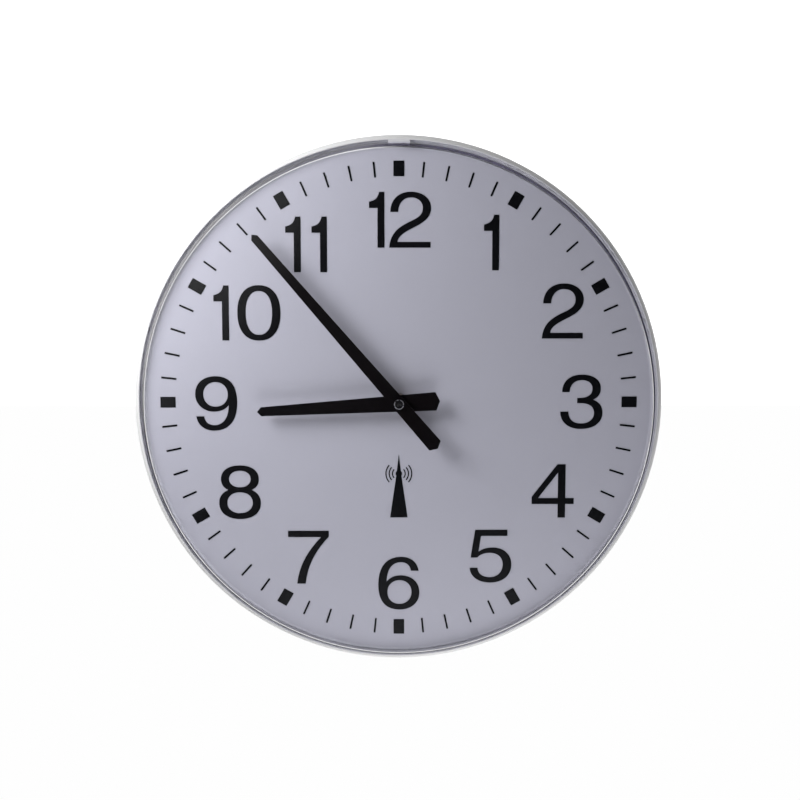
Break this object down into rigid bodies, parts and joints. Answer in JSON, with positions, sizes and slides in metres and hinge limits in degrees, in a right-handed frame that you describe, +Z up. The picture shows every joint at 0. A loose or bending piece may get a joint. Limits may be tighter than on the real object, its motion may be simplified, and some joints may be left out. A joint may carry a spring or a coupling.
{
  "type": "wall clock",
  "caption": "Round wall clock with a white case, a clear domed lens, plain numerals, two black hands and a radio-controlled quartz movement behind the dial.",
  "frame": {"origin": "centre of the hanging keyhole's round hole, on the wall plane", "axes": "+Z up, +Y into the wall, the dial faces -Y; the hands turn about a line along Y, 140 mm below the origin"},
  "size_m": [0.4, 0.054, 0.4],
  "materials": {
    "case_plastic": "satin white moulding",
    "lens_plastic": "clear moulding",
    "dial_sheet": "smooth pale grey",
    "ink": "printed black",
    "hand_black": "satin black",
    "black_plastic": "fine grain",
    "white_resin": "smooth",
    "grey_plastic": "smooth",
    "brass": "turned",
    "black_bush": "turned and blackened",
    "steel": "bright",
    "rubber": "matt",
    "copper_wire": "enamelled wire",
    "core_iron": "punched sheet",
    "magnet": "sintered",
    "ferrite": "pressed and fired",
    "board": "solder mask",
    "chip_ceramic": "fired",
    "lamp_clear": "clear cast",
    "cell_wrap": "shrunk sleeve"
  },
  "bodies": {
    "clock": {"rear_case": "case_plastic", "lens": "lens_plastic", "dial": "dial_sheet", "hour_numerals": "ink", "hour_blocks": "ink", "minute_ticks": "ink", "radio_mast_mark": "ink", "front_housing": "black_plastic", "threaded_neck": "brass", "rubber_gasket": "rubber", "neck_washer": "steel", "neck_nut": "brass", "rear_housing": "black_plastic", "gear_bridge": "white_resin", "bridge_screws": "steel", "stator": "core_iron", "coil_bobbin": "white_resin", "coil_winding": "copper_wire", "circuit_board": "board", "clock_chip": "black_plastic", "crystals": "steel", "board_capacitors": "chip_ceramic", "button_switches": "steel", "position_lamp": "lamp_clear", "position_sensor": "lamp_clear", "antenna_rod": "ferrite", "antenna_winding": "copper_wire", "antenna_cradle": "white_resin", "plus_contact": "steel", "minus_contact": "steel"},
    "minute": {"minute_hand": "hand_black", "minute_hand_bush": "black_bush", "minute_shaft": "steel", "centre_wheel": "white_resin"},
    "hour": {"hour_hand": "hand_black", "hour_hand_bush": "brass", "hour_wheel": "white_resin"},
    "motion": {"motion_wheel": "white_resin"},
    "third": {"third_wheel": "white_resin"},
    "intermediate": {"intermediate_wheel": "white_resin"},
    "rotor": {"rotor_pinion": "white_resin", "rotor_magnet": "magnet"},
    "set": {"set_button": "grey_plastic"},
    "receive": {"receive_button": "grey_plastic"},
    "reset": {"reset_button": "grey_plastic"},
    "cell": {"battery": "cell_wrap"}
  },
  "joints": [
    {"name": "minute_turn", "type": "hinge", "parent": "clock", "child": "minute", "pos_m": [0, 0, -0.14], "axis": [0, 1, 0], "continuous": true},
    {"name": "hour_turn", "type": "hinge", "parent": "clock", "child": "hour", "pos_m": [0, 0, -0.14], "axis": [0, 1, 0], "continuous": true},
    {"name": "motion_turn", "type": "hinge", "parent": "clock", "child": "motion", "pos_m": [0.00902, 0, -0.13672], "axis": [0, 1, 0], "continuous": true},
    {"name": "third_turn", "type": "hinge", "parent": "clock", "child": "third", "pos_m": [-0.0105, 0, -0.14], "axis": [0, 1, 0], "continuous": true},
    {"name": "intermediate_turn", "type": "hinge", "parent": "clock", "child": "intermediate", "pos_m": [-0.00681, 0, -0.15015], "axis": [0, 1, 0], "continuous": true},
    {"name": "rotor_turn", "type": "hinge", "parent": "clock", "child": "rotor", "pos_m": [0.00181, 0, -0.15167], "axis": [0, 1, 0], "continuous": true},
    {"name": "set_press", "type": "slide", "parent": "clock", "child": "set", "axis": [0, -1, 0], "range_m": [0, 0.0006], "stiffness_N_per_m": 400},
    {"name": "receive_press", "type": "slide", "parent": "clock", "child": "receive", "axis": [0, -1, 0], "range_m": [0, 0.0006], "stiffness_N_per_m": 400},
    {"name": "reset_press", "type": "slide", "parent": "clock", "child": "reset", "axis": [0, -1, 0], "range_m": [0, 0.0006], "stiffness_N_per_m": 400},
    {"name": "battery_slide", "type": "slide", "parent": "clock", "child": "cell", "axis": [0, 1, 0], "range_m": [0, 0.02]}
  ],
  "couplings": [
    {"joint": "hour_turn", "follows": "minute_turn", "ratio": 0.083333},
    {"joint": "motion_turn", "follows": "minute_turn", "ratio": -0.33333},
    {"joint": "third_turn", "follows": "minute_turn", "ratio": -4},
    {"joint": "intermediate_turn", "follows": "minute_turn", "ratio": 20},
    {"joint": "rotor_turn", "follows": "minute_turn", "ratio": -120}
  ]
}
